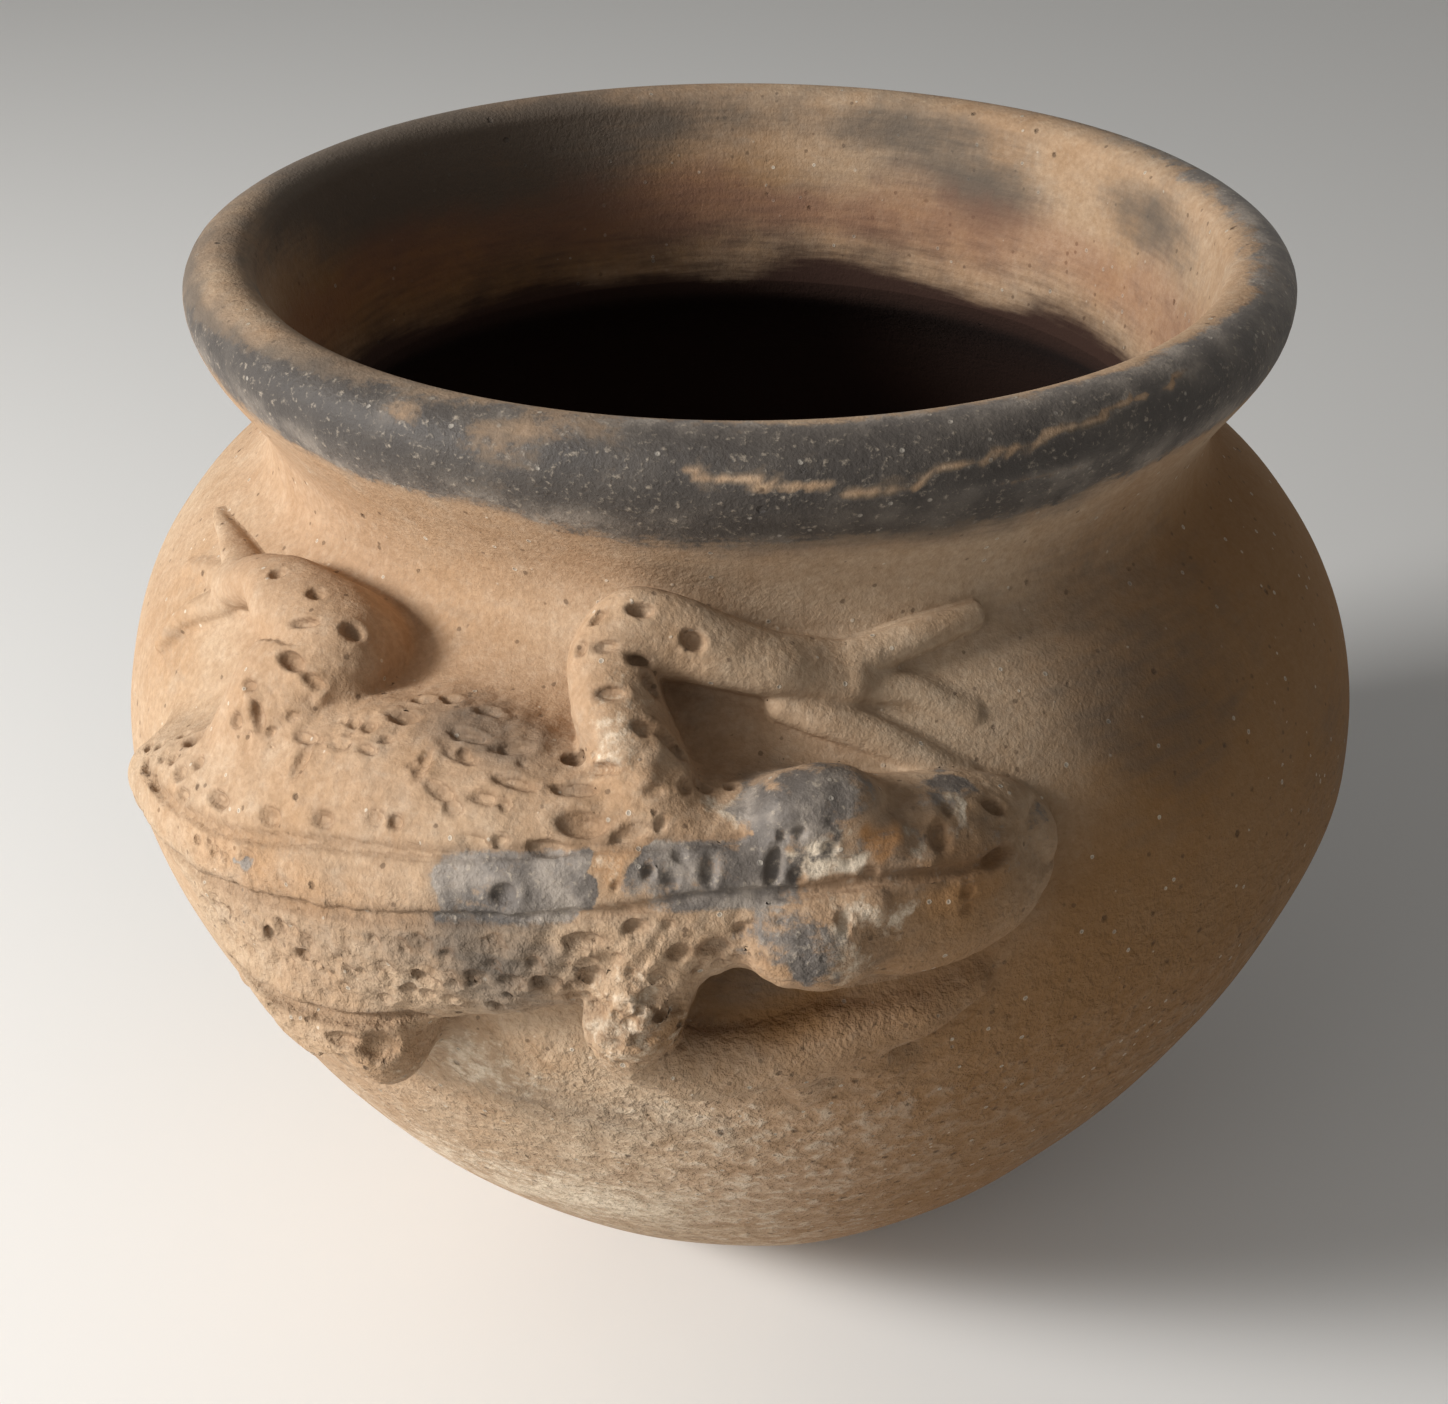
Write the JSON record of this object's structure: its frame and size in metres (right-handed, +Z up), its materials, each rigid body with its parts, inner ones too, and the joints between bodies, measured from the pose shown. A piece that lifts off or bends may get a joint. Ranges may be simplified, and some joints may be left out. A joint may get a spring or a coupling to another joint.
{
  "type": "effigy jar",
  "caption": "Round-bellied earthenware jar with a flared, rolled rim and a toad in high relief on one side; stands on a small flat and holds food or liquid.",
  "frame": {"origin": "centre of the small flat on the jar's underside, where it stands", "axes": "+Z up along the jar's axis, -Y towards the side that carries the toad, +X towards the toad's head"},
  "size_m": [0.1798, 0.191, 0.157],
  "materials": {
    "clay": "matt, low-fired buff earthenware with sand temper and grey fire clouds",
    "slip": "worn slate-grey slip over buff earthenware"
  },
  "bodies": {
    "root": {"base_bowl": "clay", "lower_wall": "clay", "belly_wall": "clay", "shoulder_wall": "clay", "throat_wall": "clay", "neck_collar": "clay", "rim_coil": "slip", "toad_torso": "clay", "toad_head": "clay", "toad_dorsal_strip": "slip", "toad_left_eye": "slip", "toad_right_eye": "slip", "toad_left_foreleg": "clay", "toad_right_foreleg": "clay", "toad_left_hindleg": "clay", "toad_right_hindleg": "clay", "toad_left_finger_1": "clay", "toad_left_finger_2": "clay", "toad_left_finger_3": "clay", "toad_right_finger_1": "clay", "toad_right_finger_2": "clay", "toad_right_finger_3": "clay", "toad_left_toe_1": "clay", "toad_left_toe_2": "clay", "toad_left_toe_3": "clay", "toad_right_toe_1": "clay", "toad_right_toe_2": "clay", "toad_right_toe_3": "clay"}
  },
  "joints": []
}
